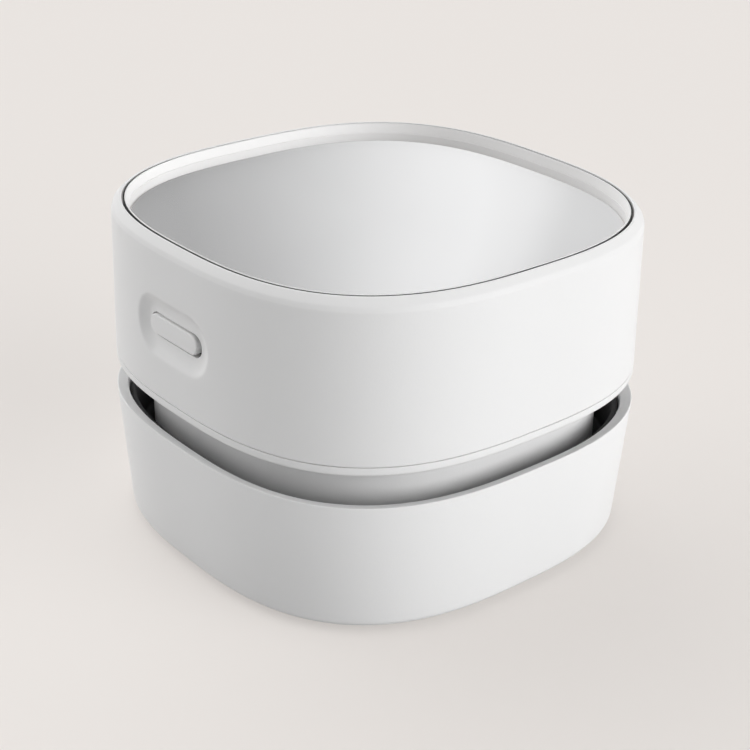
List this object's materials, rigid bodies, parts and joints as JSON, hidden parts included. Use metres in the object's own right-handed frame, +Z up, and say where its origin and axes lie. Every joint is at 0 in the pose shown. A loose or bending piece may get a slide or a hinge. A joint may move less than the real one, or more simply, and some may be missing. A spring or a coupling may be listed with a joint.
{
  "type": "desktop mini vacuum cleaner",
  "caption": "Palm-sized squircle desk vacuum with a twist-off dust bin, brushed underside inlet, waist exhaust gap, side push button and rechargeable motor head.",
  "frame": {"origin": "on the desk, under the middle of the dust bin", "axes": "+Z up along the motor's axis, -X towards the push button, +X towards the charging socket"},
  "size_m": [0.0852, 0.0852, 0.0598],
  "materials": {
    "satin_white_plastic": "satin white moulding",
    "gloss_pearl_plate": "high gloss pale grey",
    "grey_pod_plastic": "satin light grey moulding",
    "black_plastic": "matt black moulding",
    "dark_plastic": "matt dark grey moulding",
    "steel": "plated",
    "copper": "enamelled copper",
    "brass": "plain brass",
    "magnet_ferrite": "sintered ferrite",
    "board_green": "solder mask",
    "nylon_bristle": "nylon bristle",
    "filter_fleece": "pleated fleece",
    "rubber": "soft black rubber",
    "cell_wrap": "shrink sleeve over a steel cell",
    "red_wire": "red wire sleeve"
  },
  "bodies": {
    "bin": {"dust_bin": "satin_white_plastic", "bin_collar": "satin_white_plastic", "bin_floor": "satin_white_plastic", "inlet_tube": "dark_plastic", "exhaust_liner": "black_plastic", "brush_plate": "satin_white_plastic", "bristle_strip_1": "nylon_bristle", "bristle_strip_2": "nylon_bristle", "bristle_strip_3": "nylon_bristle", "bristle_strip_4": "nylon_bristle", "glide_pad_1": "dark_plastic", "glide_pad_2": "dark_plastic", "glide_pad_3": "dark_plastic", "glide_pad_4": "dark_plastic", "brush_plate_screw_1": "steel", "brush_plate_screw_2": "steel", "brush_plate_screw_3": "steel", "brush_plate_screw_4": "steel"},
    "head": {"upper_shell": "satin_white_plastic", "top_bezel": "satin_white_plastic", "top_plate": "gloss_pearl_plate", "lower_cover": "satin_white_plastic", "shell_screw_1": "steel", "shell_screw_2": "steel", "shell_screw_3": "steel", "shell_screw_4": "steel", "motor_pod": "grey_pod_plastic", "motor_deck": "grey_pod_plastic", "intake_plate": "dark_plastic", "seal_ring": "rubber", "filter_frame": "dark_plastic", "filter_pad": "filter_fleece", "motor_can": "steel", "motor_bushing": "brass", "motor_magnet_1": "magnet_ferrite", "motor_magnet_2": "magnet_ferrite", "motor_end_cap": "satin_white_plastic", "motor_terminal_1": "brass", "motor_terminal_2": "brass", "motor_screw_1": "steel", "motor_screw_2": "steel", "chassis": "dark_plastic", "battery_cell": "cell_wrap", "battery_tab_1": "steel", "battery_tab_2": "steel", "charge_board": "board_green", "charging_socket": "steel", "switch_board": "board_green", "switch_body": "black_plastic", "motor_lead_red": "red_wire", "motor_lead_black": "rubber", "battery_lead_red": "red_wire", "battery_lead_black": "rubber"},
    "button": {"power_button": "satin_white_plastic", "switch_plunger": "dark_plastic"},
    "rotor": {"motor_shaft": "steel", "armature": "copper", "commutator": "copper", "fan_disc": "dark_plastic", "fan_blades": "dark_plastic"}
  },
  "joints": [
    {"name": "head_twist", "type": "hinge", "parent": "bin", "child": "head", "pos_m": [0, 0, 0.0156], "axis": [0, 0, 1], "range_deg": [0, 20]},
    {"name": "button_press", "type": "slide", "parent": "head", "child": "button", "axis": [1, 0, 0], "range_m": [0, 0.0009], "stiffness_N_per_m": 1500},
    {"name": "rotor_spin", "type": "hinge", "parent": "head", "child": "rotor", "pos_m": [0, 0, 0.025], "axis": [0, 0, 1], "continuous": true}
  ]
}
